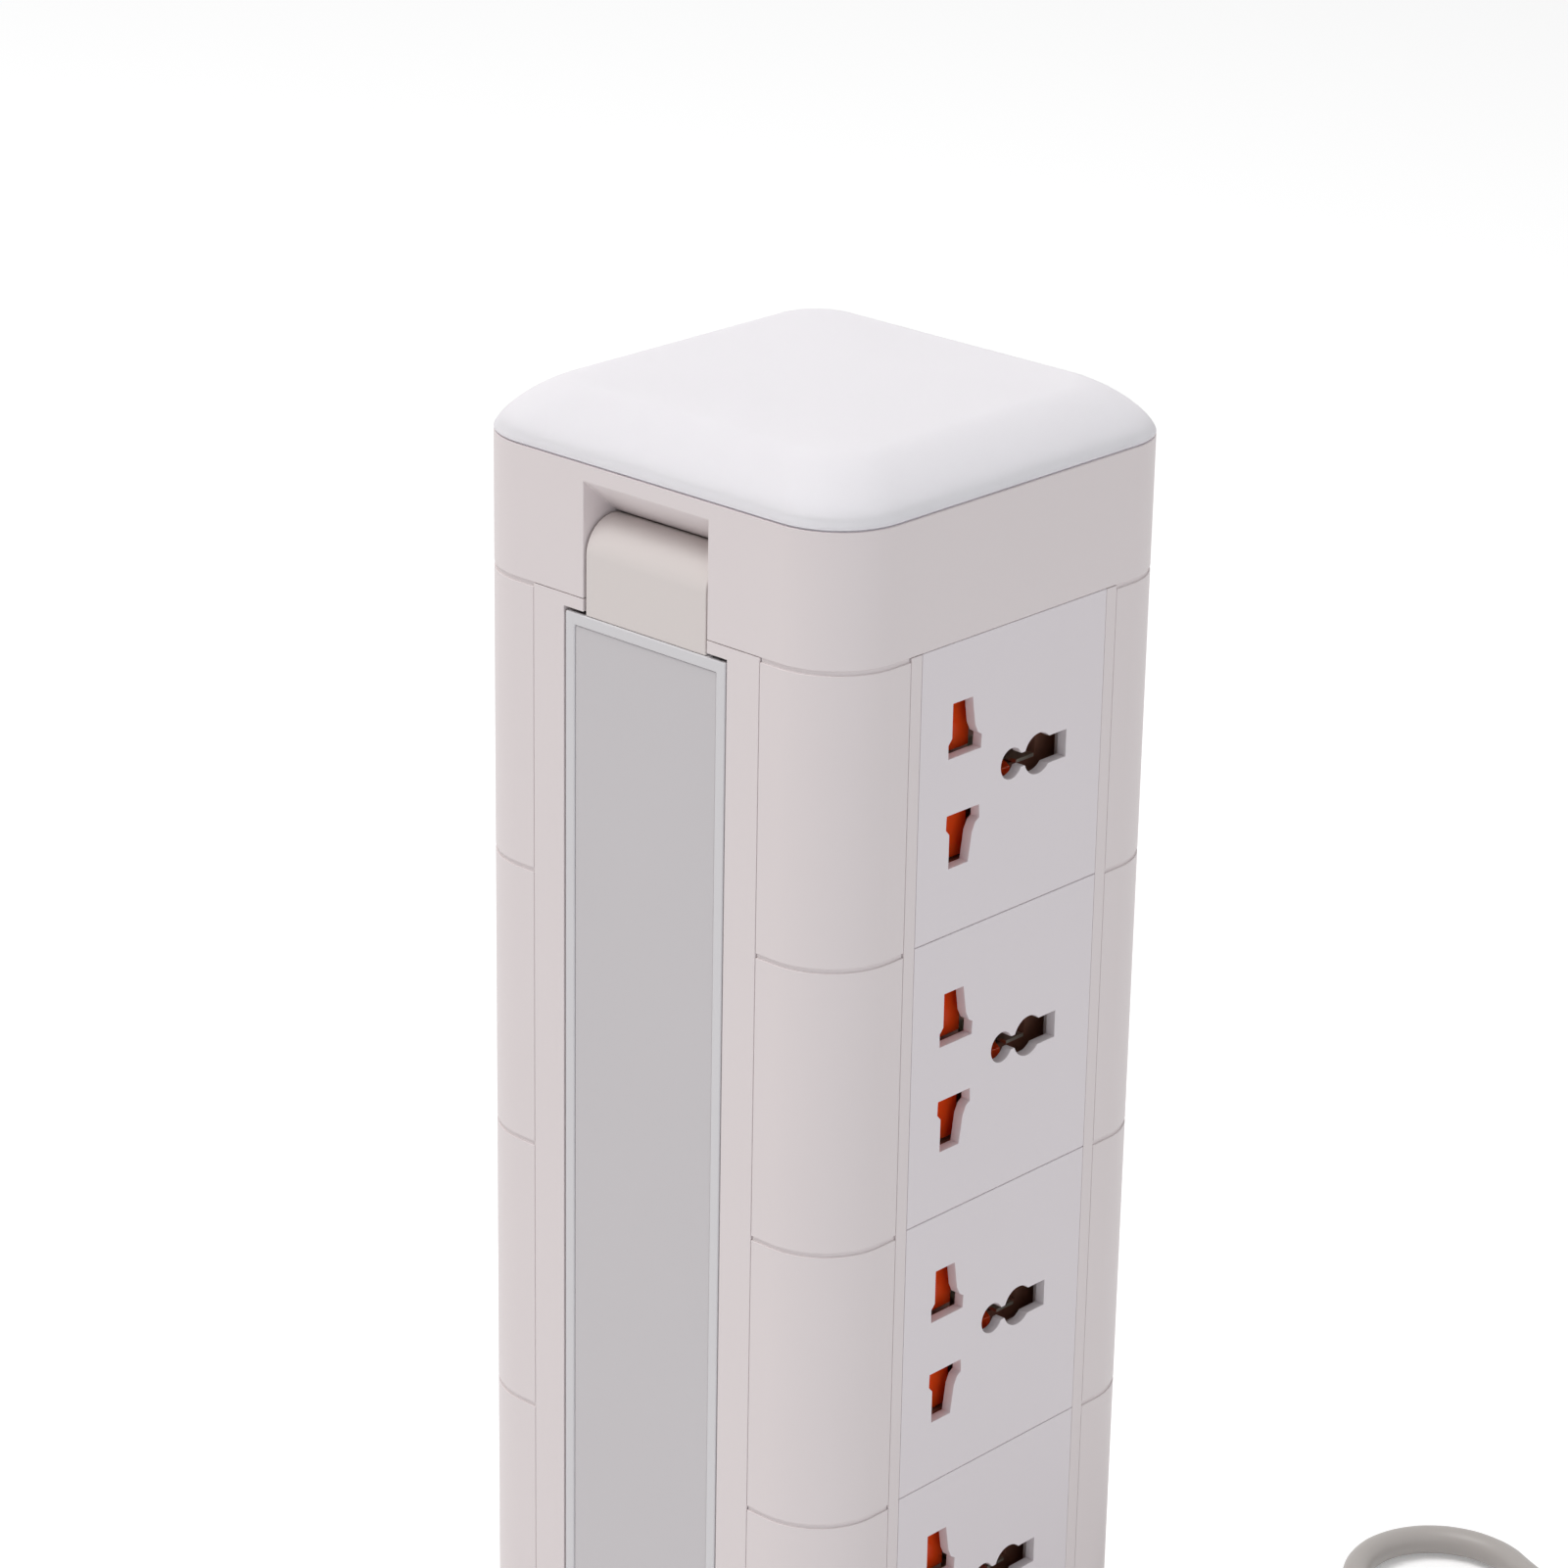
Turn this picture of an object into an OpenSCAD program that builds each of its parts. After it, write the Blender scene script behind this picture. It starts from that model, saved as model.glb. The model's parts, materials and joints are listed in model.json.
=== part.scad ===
/* [Tower] */
// Width of a socket plate; the panels, the tower and its base follow it
plate_w = 47.2; // [45:0.1:50]
// Width of the side panel's strip seen on each side of a plate
strip_w = 2.75; // [2.2:0.05:3.5]
// Width of a corner piece beside a side panel
corner_w = 17.65; // [16.5:0.05:20]
// Radius of the tower's upright corners
corner_r = 13.4; // [10:0.2:14]
// Height of one socket level
level_h = 52.5; // [50:0.5:60]
// Wall of the moulded housings
wall_t = 2.4; // [2:0.1:2.8]
// Thickness of the floor that joins the corners of a level
web_t = 1.6; // [1.2:0.1:2.4]
// How far the top edge of each level is drawn in
level_lip = 0.35; // [0.1:0.05:0.6]
// Height of that drawn-in edge
level_lip_h = 0.8; // [0.4:0.1:2]

/* [Base] */
// How far the base stands out past the tower's sides
base_margin = 3; // [1:0.5:8]
// Height of the base with its feet
base_h = 22; // [20:1:30]
// Height of the rubber feet
foot_h = 2; // [1:0.5:3]
// Radius of the rubber feet
foot_r = 7; // [5:0.5:9]

/* [Head and dome] */
// Height of the head ring
head_h = 23.7; // [22:0.1:26]
// Height of the dome's rounded edge
dome_edge_h = 8.8; // [8:0.2:14]
// Depth of the dome's rounded edge, seen from above
dome_edge_w = 12; // [10:0.5:18]
// Fullness of the dome's edge, 2 is a plain ellipse and less is flatter
dome_edge_n = 1.4; // [1.3:0.1:2]
// Rise of the dome's top from its edge to its middle
dome_crown = 1.6; // [0.5:0.1:4]
// Wall of the dome
dome_t = 1.8; // [1.2:0.1:2.4]

/* [Sockets] */
// Thickness of a socket plate
plate_t = 2; // [1.6:0.1:2.4]
// Distance of the live and neutral slots' line from the plate's middle
pole_offset = 13.1; // [12:0.1:14]
// Outer end of a live or neutral slot from the socket's middle
slot_outer = 14.8; // [14.5:0.1:15.4]
// Inner end of a live or neutral slot from the socket's middle
slot_inner = 5.1; // [4.6:0.1:5.4]
// Width of a slot's narrow stem
slot_stem_w = 5; // [4.6:0.1:5.4]
// Radius of the earth opening's round end
earth_small_r = 2.8; // [2.5:0.1:3]
// Radius of the earth opening's middle
earth_big_r = 3.7; // [3.4:0.1:3.9]

/* [Lamp] */
// Width of the lamp
lamp_w = 37.4; // [34:0.1:38]
// Height of the front panel left free under the lamp
lamp_foot = 29.45; // [26:0.05:60]
// Depth of the lamp's housing
lamp_d = 10.8; // [9:0.1:11]
// Width of the rim around the diffuser
lamp_rim = 2.15; // [1.6:0.05:3]
// Width of the hinge knuckle
knuckle_w = 28; // [24:0.5:30]
// Radius of the knuckle's rounded top
knuckle_r = 6.3; // [6:0.1:6.4]
// Radius of the hinge pin
pin_r = 2; // [1.5:0.1:2.4]

/* [Cord] */
// Diameter of the mains cord
cord_d = 6.2; // [6:0.1:6.4]
// Distance of the hank's near folds from its outermost far fold
hank_l = 128; // [125:1:128]
// Fold radius of the hank's inner loops, at the cord's middle
fold_r = 18.8; // [18.8:0.1:19.4]
// Step from one turn or layer of the hank to the next
turn_step = 6.9; // [6.85:0.05:7]
// How far the hank's runs are drawn in where they are tied
waist = 3; // [1:0.5:3]

/* [Hidden] */
$fn = 64;

levels = 5;
over = 1;
panel_w = plate_w + 2 * strip_w;
tower_w = panel_w + 2 * corner_w;
base_w = tower_w + 2 * base_margin;
base_r = corner_r + base_margin;
half_w = tower_w / 2;
stack_h = levels * level_h;
head_z = base_h + stack_h;
top_z = head_z + head_h;
inner_w = tower_w - 2 * wall_t;
inner_r = corner_r - wall_t;

body_tone = [0.93, 0.90, 0.89];
plate_tone = [0.94, 0.92, 0.93];
dome_tone = [0.97, 0.96, 0.97];
frost_tone = [0.78, 0.77, 0.77];
shutter_tone = [0.75, 0.18, 0.06];
brass_tone = [0.80, 0.65, 0.35];
steel_tone = [0.72, 0.73, 0.75];
rubber_tone = [0.25, 0.25, 0.26];
board_tone = [0.92, 0.94, 0.92];
cord_tone = [0.64, 0.62, 0.60];
black_tone = [0.10, 0.10, 0.11];
red_tone = [0.75, 0.08, 0.06];

// Long panels: a flush front and a wider flange trapped behind the corner walls
panel_front_d = 2.5;
panel_back_d = 3.7;
panel_lap = 3.15;
panel_flange_w = panel_w + 2 * panel_lap;
panel_gap = 0.1;

// Depths of the socket stack, measured inward from the side's face
shutter_front_d = 3.9;
shutter_back_d = 6.6;
carrier_front_d = 7.1;
carrier_back_d = 19;
bus_front_d = 17;
bus_back_d = 17.8;
leaf_t = 0.6;
pole_leaf = 2.45;
earth_leaf = 2.5;
socket_drop = 0.65;
socket_mid = level_h / 2 - socket_drop;
groove_gap = 0.3;
clear = 0.3;
leaf_pad = 2.7;
bar_w = 5;
bar_gap = 0.2;
carrier_rim = 1.2;
live_groove = [-(pole_offset + leaf_pad + bar_gap + bar_w + groove_gap),
    -(pole_offset + leaf_pad + bar_gap - groove_gap)];
neutral_start = -9.7;
neutral_groove = [neutral_start, neutral_start + bar_w + 2 * groove_gap];
carrier_w = 2 * (carrier_rim - live_groove[0]);

// Lamp hinge: the pin lies behind the face and above the lamp
pin_depth = 6.5;
pin_rise = 7.7;
lamp_top_drop = 3.05;
strip_drop = 2.35;
bay_gap = 0.45;
bay_half = knuckle_w / 2 + bay_gap;
bay_wall = 2.2;
bay_top = 20.8;
bay_slope_d = 7.8;
bay_ceiling = 14.6;
bay_slope_share = 0.8;
bay_depth = 15;
lamp_gap = 0.35;
pocket_wall = 1.4;
pocket_depth = 11.6;

// Long rods that clamp the base, the levels and the head together
rod_r = 1.75;
rod_head_r = 3.1;
rod_boss_r = 3.5;
rod_gap = 1;
rod_pos = panel_flange_w / 2 + rod_boss_r + rod_gap;
rod_fit = 0.05;
rod_head_z = 5;
rod_head_h = 2.8;
rod_top_drop = 6;

// Reaches of the cord's pieces
cord_r = cord_d / 2;
gland_end = 83;
gland_z = 12;
tie_t = 0.4;
tie_low_gap = 0.1;
hank_z = cord_r + tie_t + tie_low_gap;
hank_far = [10.8, 197.3];
hank_turn = -30;
far_shifts = [0, 52, 64, 52, 52];
loop_rings = [2, 1, 0, 0, 1, 2];
first_taper = 46;
second_taper = 36;
waist_s = 70;
run_places = [12, 23, 34, 46];
waist_steps = 5;
hank_start = 48;
coil_sides = 6;
cord_sides = 10;

// The lead from the base to the hank, laid on the floor
cord_route = [[0, 83, 12], [0, 89.2, 12], [-0.4, 97, 11], [-1.6, 105.6, 8.2], [-3.2, 114, 5.2],
    [-4.3, 122, 3.7], [-1.9, 133.1, 3.4], [5.2, 142.4, 3.4], [15.6, 147.8, 3.4], [26.1, 148.5, 3.5]];
// The tail from the hank to the plug
tail_route = [[88.8, 117.2, 10.6], [93.3, 111.6, 10.7], [96.2, 104.8, 9.1], [97, 97.2, 7],
    [97, 88, 6.6], [97, 79, 8.4], [97, 70.5, 10], [97, 64.3, 10]];

// Height of the bottom of a level, counted from the top
function level_z(k) = head_z - k * level_h;
// Height of the middle of the socket on a level
function socket_z(k) = level_z(k) + level_h - socket_mid;

module rounded_square(w, r) {
    square([w, w - 2 * r], center = true);
    square([w - 2 * r, w], center = true);
    for (sx = [-1, 1], sy = [-1, 1])
        translate([sx * (w / 2 - r), sy * (w / 2 - r)])
            circle(r);
}

// Face frame: X along the face, Y up, Z outward; turn 0 is the right side, -90 the front
module on_face(turn) {
    rotate([0, 0, turn])
        translate([half_w, 0, 0])
            rotate([90, 0, 90])
                children();
}

// Flat shape in the face frame, between two depths behind the face
module slab(d0, d1) {
    translate([0, 0, -d1])
        linear_extrude(d1 - d0)
            children();
}

module box2(x0, x1, y0, y1) {
    translate([x0, y0])
        square([x1 - x0, y1 - y0]);
}

module at_rods() {
    for (sx = [-1, 1], sy = [-1, 1])
        translate([sx * rod_pos, sy * rod_pos])
            children();
}

// Base
screw_inset_x = 9;
screw_inset_y = 23;
cover_screw_x = base_w / 2 - screw_inset_x;
cover_screw_y = base_w / 2 - screw_inset_y;
cover_boss_r = 3;
cover_t = 2.2;
screw_r = 1.25;
screw_fit = 0.05;
base_top_t = 2;
base_opening = 60;
base_wall = 2.4;
foot_draft = 0.6;
screw_l = 12;
screw_head_h = 1.2;

module base_shell() {
    color(body_tone)
        difference() {
            union() {
                difference() {
                    translate([0, 0, foot_h])
                        linear_extrude(base_h - foot_h)
                            rounded_square(base_w, base_r);
                    translate([0, 0, foot_h - over])
                        linear_extrude(base_h - foot_h - base_top_t + over)
                            rounded_square(base_w - 2 * base_wall, base_r - base_wall);
                }
                translate([0, 0, rod_head_z + rod_head_h])
                    linear_extrude(base_h - rod_head_z - rod_head_h - base_top_t / 2)
                        at_rods()
                            circle(rod_boss_r);
                for (sx = [-1, 1], sy = [-1, 1])
                    translate([sx * cover_screw_x, sy * cover_screw_y, foot_h + cover_t])
                        cylinder(h = base_h - foot_h - cover_t - base_top_t / 2, r = cover_boss_r);
            }
            translate([0, 0, base_h - base_top_t - over])
                linear_extrude(base_top_t + 2 * over)
                    square(base_opening, center = true);
            linear_extrude(base_h + over)
                at_rods()
                    circle(rod_r + rod_fit);
            for (sx = [-1, 1], sy = [-1, 1])
                translate([sx * cover_screw_x, sy * cover_screw_y, 0])
                    cylinder(h = base_h - base_top_t, r = screw_r + screw_fit);
            translate([0, base_w / 2 + over, gland_z])
                rotate([90, 0, 0])
                    cylinder(h = base_wall + 2 * over, r = gland_neck_r + screw_fit);
        }
}

module base_cover() {
    color(body_tone)
        difference() {
            translate([0, 0, foot_h])
                linear_extrude(cover_t)
                    rounded_square(base_w - 2 * base_wall - clear, base_r - base_wall);
            for (sx = [-1, 1], sy = [-1, 1])
                translate([sx * cover_screw_x, sy * cover_screw_y, foot_h - over])
                    cylinder(h = cover_t + 2 * over, r = screw_r + screw_fit);
        }
}

module feet() {
    color(rubber_tone)
        at_rods()
            cylinder(h = foot_h, r1 = foot_r - foot_draft, r2 = foot_r);
}

module base_screws() {
    color(steel_tone)
        for (sx = [-1, 1], sy = [-1, 1])
            translate([sx * cover_screw_x, sy * cover_screw_y, 0]) {
                translate([0, 0, foot_h])
                    cylinder(h = screw_l, r = screw_r);
                translate([0, 0, foot_h - screw_head_h])
                    cylinder(h = screw_head_h, r = 2 * screw_r);
            }
}

module tie_rods() {
    color(steel_tone)
        at_rods() {
            translate([0, 0, rod_head_z])
                cylinder(h = rod_head_h, r = rod_head_r);
            translate([0, 0, rod_head_z])
                cylinder(h = top_z - rod_top_drop - rod_head_z, r = rod_r);
        }
}

// Driver board of the lamp and the night light, on the base's cover
board_w = 56;
board_l = 40;
board_t = 1.6;
board_stud_x = 24;
board_stud_y = 16;
board_stud_h = 3;
board_stud_r = 2.5;
// Corner and size of the transformer and of the film capacitor on the board
transformer_at = [-22, -12];
transformer_size = [14, 16, 9];
film_cap_at = [2, -14];
film_cap_size = [18, 8, 5];
can_at = 6;
can_r = 5;
can_h = 8;

module power_board() {
    board_z = foot_h + cover_t + board_stud_h;
    color(board_tone) {
        translate([-board_w / 2, -board_l / 2, board_z])
            cube([board_w, board_l, board_t]);
        for (sx = [-1, 1], sy = [-1, 1])
            translate([sx * board_stud_x, sy * board_stud_y, foot_h + cover_t])
                cylinder(h = board_stud_h, r = board_stud_r);
        translate([transformer_at[0], transformer_at[1], board_z + board_t])
            cube(transformer_size);
        translate([can_at, can_at, board_z + board_t])
            cylinder(h = can_h, r = can_r);
        translate([film_cap_at[0], film_cap_at[1], board_z + board_t])
            cube(film_cap_size);
    }
}

// Corner posts of a level: four arcs of wall, each with the boss of its rod
module posts_shape(inset) {
    difference() {
        union() {
            difference() {
                rounded_square(tower_w - 2 * inset, corner_r - inset);
                rounded_square(inner_w, inner_r);
            }
            at_rods()
                circle(rod_boss_r);
            for (a = [45, 135, 225, 315])
                rotate(a)
                    box2(rod_pos * sqrt(2), half_w * sqrt(2) - corner_r * (sqrt(2) - 1) - wall_t / 2,
                        -web_t / 2, web_t / 2);
        }
        for (a = [0, 90, 180, 270])
            rotate(a)
                box2(half_w - wall_t - over, half_w + over,
                    -panel_w / 2 - panel_gap, panel_w / 2 + panel_gap);
        at_rods()
            circle(rod_r + rod_fit);
    }
}

// Floor of a level, open for the panels, the lamp's pocket, the carriers and the wires
switch_way_half = 12;
wire_way_half = 14;
wire_way_front = 20;
wire_way_back = 12;
module web_shape() {
    socket_zone = half_w - carrier_front_d;
    lamp_zone = half_w - pocket_depth - pocket_wall - 2 * clear;
    flange_half = panel_flange_w / 2 + clear;
    difference() {
        rounded_square(inner_w + wall_t, inner_r + wall_t / 2);
        for (a = [0, 180])
            rotate(a) {
                box2(socket_zone - over, half_w, -flange_half, flange_half);
                box2(half_w - carrier_back_d - clear, socket_zone,
                    -carrier_w / 2 - clear, carrier_w / 2 + clear);
            }
        rotate(-90)
            box2(lamp_zone, half_w, -lamp_w / 2 - 3 * pocket_wall, lamp_w / 2 + 3 * pocket_wall);
        for (a = [-90, 90])
            rotate(a)
                box2(half_w - panel_back_d - clear, half_w, -flange_half, flange_half);
        box2(-switch_way_half, switch_way_half, half_w - switch_depth - over, half_w);
        box2(-wire_way_half, wire_way_half, -wire_way_front, wire_way_back);
        at_rods()
            circle(rod_r + rod_fit);
    }
}

module module_frame(k) {
    color(body_tone)
        translate([0, 0, level_z(k)]) {
            linear_extrude(level_h - level_lip_h)
                posts_shape(0);
            translate([0, 0, level_h - level_lip_h])
                linear_extrude(level_lip_h)
                    posts_shape(level_lip);
            linear_extrude(web_t)
                web_shape();
        }
}

// Outline of a long panel: front 0 is the trapped flange, 1 the flush front
module panel_outline(front) {
    w = front ? panel_w : panel_flange_w;
    box2(-w / 2, w / 2, base_h + panel_gap, head_z - panel_gap);
}

lamp_top = head_z - lamp_top_drop;
lamp_bottom = base_h + lamp_foot;
lamp_l = lamp_top - lamp_bottom;
window_half = lamp_w / 2 + lamp_gap;
scoop_half = 10;
scoop_h = 8;
scoop_depth = 7;

module front_panel() {
    outer_half = window_half + pocket_wall;
    color(body_tone)
        on_face(-90)
            difference() {
                union() {
                    slab(0, panel_front_d)
                        panel_outline(true);
                    slab(panel_front_d, panel_back_d)
                        panel_outline(false);
                    slab(0, pocket_depth + pocket_wall)
                        box2(-outer_half, outer_half,
                            lamp_bottom - lamp_gap - pocket_wall, head_z - strip_drop);
                    slab(0, scoop_depth + pocket_wall)
                        box2(-scoop_half - pocket_wall, scoop_half + pocket_wall,
                            lamp_bottom - lamp_gap - scoop_h - pocket_wall, lamp_bottom);
                }
                slab(-over, pocket_depth)
                    box2(-window_half, window_half, lamp_bottom - lamp_gap, head_z - strip_drop);
                slab(-over, pocket_depth)
                    box2(-bay_half, bay_half, lamp_top, head_z + over);
                slab(panel_back_d, pocket_depth)
                    box2(-window_half, window_half, lamp_top, head_z + over);
                slab(-over, scoop_depth)
                    box2(-scoop_half, scoop_half, lamp_bottom - lamp_gap - scoop_h, lamp_bottom);
            }
}

// Rear panel with the cut-outs of the switch and of the breaker
switch_drop = 24;
breaker_drop = 46;
switch_z = head_z - switch_drop;
breaker_z = head_z - breaker_drop;
switch_w = 19.2;
switch_h = 13;
switch_depth = 14;
bezel_w = 21.6;
bezel_h = 15.6;
bezel_t = 1.6;
bush_r = 4.9;

module rear_panel() {
    color(body_tone)
        on_face(90)
            difference() {
                union() {
                    slab(0, panel_front_d)
                        panel_outline(true);
                    slab(panel_front_d, panel_back_d)
                        panel_outline(false);
                }
                slab(-over, panel_back_d + over)
                    box2(-switch_w / 2 - groove_gap / 2, switch_w / 2 + groove_gap / 2,
                        switch_z - switch_h / 2 - groove_gap / 2, switch_z + switch_h / 2 + groove_gap / 2);
                translate([0, breaker_z, -panel_back_d - over])
                    cylinder(h = panel_back_d + 2 * over, r = bush_r + rod_fit);
            }
}

peg_r = 1.2;
peg_inset_x = 2.4;
peg_inset_y = 3.75;
peg_x = plate_w / 2 - peg_inset_x;
peg_y = level_h / 2 - peg_inset_y;
// Windows behind a plate: one for the two pole slots, one for the earth opening
pole_window = [-19, -5.6];
pole_window_half = 16.4;
earth_window = [-4, 15.6];
earth_window_half = 4.8;

// Channel that carries the five socket plates of one side
module socket_panel(turn) {
    color(body_tone)
        on_face(turn)
            difference() {
                union() {
                    slab(0, panel_front_d)
                        panel_outline(true);
                    slab(panel_front_d, panel_back_d)
                        panel_outline(false);
                }
                slab(-over, plate_t + panel_gap)
                    box2(-plate_w / 2 - panel_gap, plate_w / 2 + panel_gap, base_h, head_z);
                for (k = [1:levels])
                    translate([0, socket_z(k), 0]) {
                        slab(0, panel_back_d + over) {
                            box2(pole_window[0], pole_window[1], -pole_window_half, pole_window_half);
                            box2(earth_window[0], earth_window[1], -earth_window_half, earth_window_half);
                        }
                        for (sx = [-1, 1], sy = [-1, 1])
                            translate([sx * peg_x, sy * peg_y, -panel_back_d - over])
                                cylinder(h = panel_back_d + 2 * over, r = peg_r + rod_fit);
                    }
            }
}

// Slot for a live or neutral pin, upper half of a socket; side 1 is the upper slot
slot_shoulder = 5.1;
slot_flare = [0.8, 1.6, 2.6, 2.5];
slot_lobe = [3, 2.4];
slot_back = [0.8, 0.9];
slot_back_h = [2.5, 3.5];
module slot_shape(side) {
    stem = slot_stem_w / 2;
    mirror([0, side > 0 ? 0 : 1])
        translate([-pole_offset, 0])
            polygon([[-stem, slot_outer], [stem, slot_outer],
                [stem + slot_flare[0], slot_outer - slot_shoulder],
                [stem + slot_flare[1], slot_inner + slot_lobe[0]],
                [stem + slot_flare[2], slot_inner + slot_lobe[1]],
                [stem + slot_flare[3], slot_inner], [-stem - slot_back[0], slot_inner],
                [-stem - slot_back[1], slot_inner + slot_back_h[0]], [-stem, slot_inner + slot_back_h[1]]]);
}

// Earth opening: small round end, waist, big round middle and a flat end
earth_middle = 7;
earth_end = 14.3;
earth_waist_half = 1.25;
earth_end_half = 2.5;
module earth_shape() {
    circle(earth_small_r);
    box2(0, earth_middle, -earth_waist_half, earth_waist_half);
    translate([earth_middle, 0])
        circle(earth_big_r);
    box2(earth_middle, earth_end, -earth_end_half, earth_end_half);
}

module socket_plate(turn, k) {
    color(plate_tone)
        on_face(turn)
            translate([0, socket_z(k), 0]) {
                difference() {
                    slab(0, plate_t)
                        box2(-plate_w / 2, plate_w / 2, socket_mid - level_h + panel_gap,
                            socket_mid - panel_gap);
                    slab(-over, plate_t + over) {
                        slot_shape(1);
                        slot_shape(-1);
                        earth_shape();
                    }
                }
                for (sx = [-1, 1], sy = [-1, 1])
                    translate([sx * peg_x, sy * peg_y, -panel_back_d])
                        cylinder(h = panel_back_d - plate_t, r = peg_r);
            }
}

// Sprung shutter: two flags over the pole slots, a tongue to the earth opening and two spring arms
flag_x = [-17, -6.9];
flag_y = [4.4, 15.2];
link_x = -12.5;
link_half = 4.6;
tongue_x = -12.6;
tongue_y = [-5, -2.5];
tongue_end = 4.2;
ramp_l = 1.6;
arm_x = [-7.6, 3];
arm_y = [13.2, 14];

module shutter(turn, k) {
    color(shutter_tone)
        on_face(turn)
            translate([0, socket_z(k), 0]) {
                slab(shutter_front_d, shutter_back_d) {
                    box2(flag_x[0], flag_x[1], flag_y[0], flag_y[1]);
                    box2(flag_x[0], flag_x[1], -flag_y[1], -flag_y[0]);
                    box2(flag_x[0], link_x, -link_half, link_half);
                    box2(tongue_x, tongue_end, tongue_y[0], tongue_y[1]);
                }
                // Sloping end behind the round end of the earth opening
                translate([tongue_end, tongue_y[1], 0])
                    rotate([90, 0, 0])
                        linear_extrude(tongue_y[1] - tongue_y[0])
                            polygon([[-panel_gap, -shutter_back_d], [ramp_l, -shutter_back_d],
                                [-panel_gap, -shutter_front_d]]);
                slab(shutter_front_d + groove_gap, shutter_back_d - groove_gap) {
                    box2(arm_x[0], arm_x[1], arm_y[0], arm_y[1]);
                    box2(arm_x[0], arm_x[1], -arm_y[1], -arm_y[0]);
                }
            }
}

// Insulating carrier behind the shutters, with the pin cavities and the grooves of the bars
rib_y = 16.6;
rib_half = 0.8;
rib_end = 6;
pole_cavity_x = [-17, -9.6];
pole_cavity_y = [5.6, 14.6];
earth_cavity_x = [-3.4, 14.5];
earth_cavity_half = 3.9;
earth_groove = [5.7, 12.3];
module contact_carrier(turn) {
    color(body_tone)
        on_face(turn)
            difference() {
                union() {
                    slab(carrier_front_d, carrier_back_d)
                        box2(-carrier_w / 2, carrier_w / 2, base_h + clear, head_z - clear);
                    for (k = [1:levels], side = [-1, 1])
                        translate([0, socket_z(k) + side * rib_y, 0])
                            slab(panel_back_d, carrier_front_d)
                                box2(-carrier_w / 2, rib_end, -rib_half, rib_half);
                }
                for (k = [1:levels])
                    translate([0, socket_z(k), 0])
                        slab(carrier_front_d - over / 2, carrier_back_d + over) {
                            box2(pole_cavity_x[0], pole_cavity_x[1], pole_cavity_y[0], pole_cavity_y[1]);
                            box2(pole_cavity_x[0], pole_cavity_x[1], -pole_cavity_y[1], -pole_cavity_y[0]);
                            box2(earth_cavity_x[0], earth_cavity_x[1],
                                -earth_cavity_half, earth_cavity_half);
                        }
                slab(bus_front_d - groove_gap, carrier_back_d + over) {
                    box2(live_groove[0], live_groove[1], base_h, head_z);
                    box2(neutral_groove[0], neutral_groove[1], base_h, head_z);
                    box2(earth_groove[0], earth_groove[1], base_h, head_z);
                }
            }
}

bus_end = 2;
bus_low = base_h + bus_end;
bus_high = head_z - bus_end;
leaf_y = 10.1;
leaf_w = 7;
pole_leaf_d = 8.5;
earth_leaf_d = 8;
earth_leaf_x = [4.4, 13.4];
earth_tab_x = [6.4, 11];
earth_tab_d = 4.4;

// Live or neutral bar of one side: a strip with a gripping pair of leaves at every socket
module pole_bar(turn, side) {
    groove = side > 0 ? live_groove : neutral_groove;
    x0 = groove[0] + groove_gap;
    x1 = groove[1] - groove_gap;
    color(brass_tone)
        on_face(turn) {
            slab(bus_front_d, bus_back_d)
                box2(x0, x1, bus_low, bus_high);
            for (k = [1:levels])
                translate([0, socket_z(k) + side * leaf_y, 0]) {
                    slab(bus_front_d, bus_back_d)
                        box2(min(x0, -pole_offset - leaf_pad), max(x1, -pole_offset + leaf_pad),
                            -leaf_w / 2, leaf_w / 2);
                    slab(pole_leaf_d, bus_front_d + leaf_t / 2)
                        for (s = [-1, 1])
                            translate([s * pole_leaf - pole_offset, 0])
                                square([leaf_t, leaf_w], center = true);
                }
        }
}

module earth_bar(turn) {
    color(brass_tone)
        on_face(turn) {
            slab(bus_front_d, bus_back_d)
                box2(earth_groove[0] + groove_gap, earth_groove[1] - groove_gap, bus_low, bus_high);
            for (k = [1:levels])
                translate([0, socket_z(k), 0])
                    for (s = [-1, 1]) {
                        slab(earth_leaf_d, bus_front_d + leaf_t / 2)
                            box2(earth_leaf_x[0], earth_leaf_x[1],
                                s * earth_leaf - leaf_t / 2, s * earth_leaf + leaf_t / 2);
                        slab(earth_tab_d, earth_leaf_d + over)
                            box2(earth_tab_x[0], earth_tab_x[1],
                                s * earth_leaf - leaf_t / 2, s * earth_leaf + leaf_t / 2);
                    }
        }
}

module live_busbars() {
    for (turn = [0, 180])
        pole_bar(turn, 1);
}

module neutral_busbars() {
    for (turn = [0, 180])
        pole_bar(turn, -1);
}

module earth_busbars() {
    for (turn = [0, 180])
        earth_bar(turn);
}

// Head with the hinge bay: its ceiling slopes down from the face to behind the knuckle
deck_t = 1.6;
deck_z = head_z + bay_top;
wire_hole_y = 12;
wire_hole_r = 4;

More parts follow.
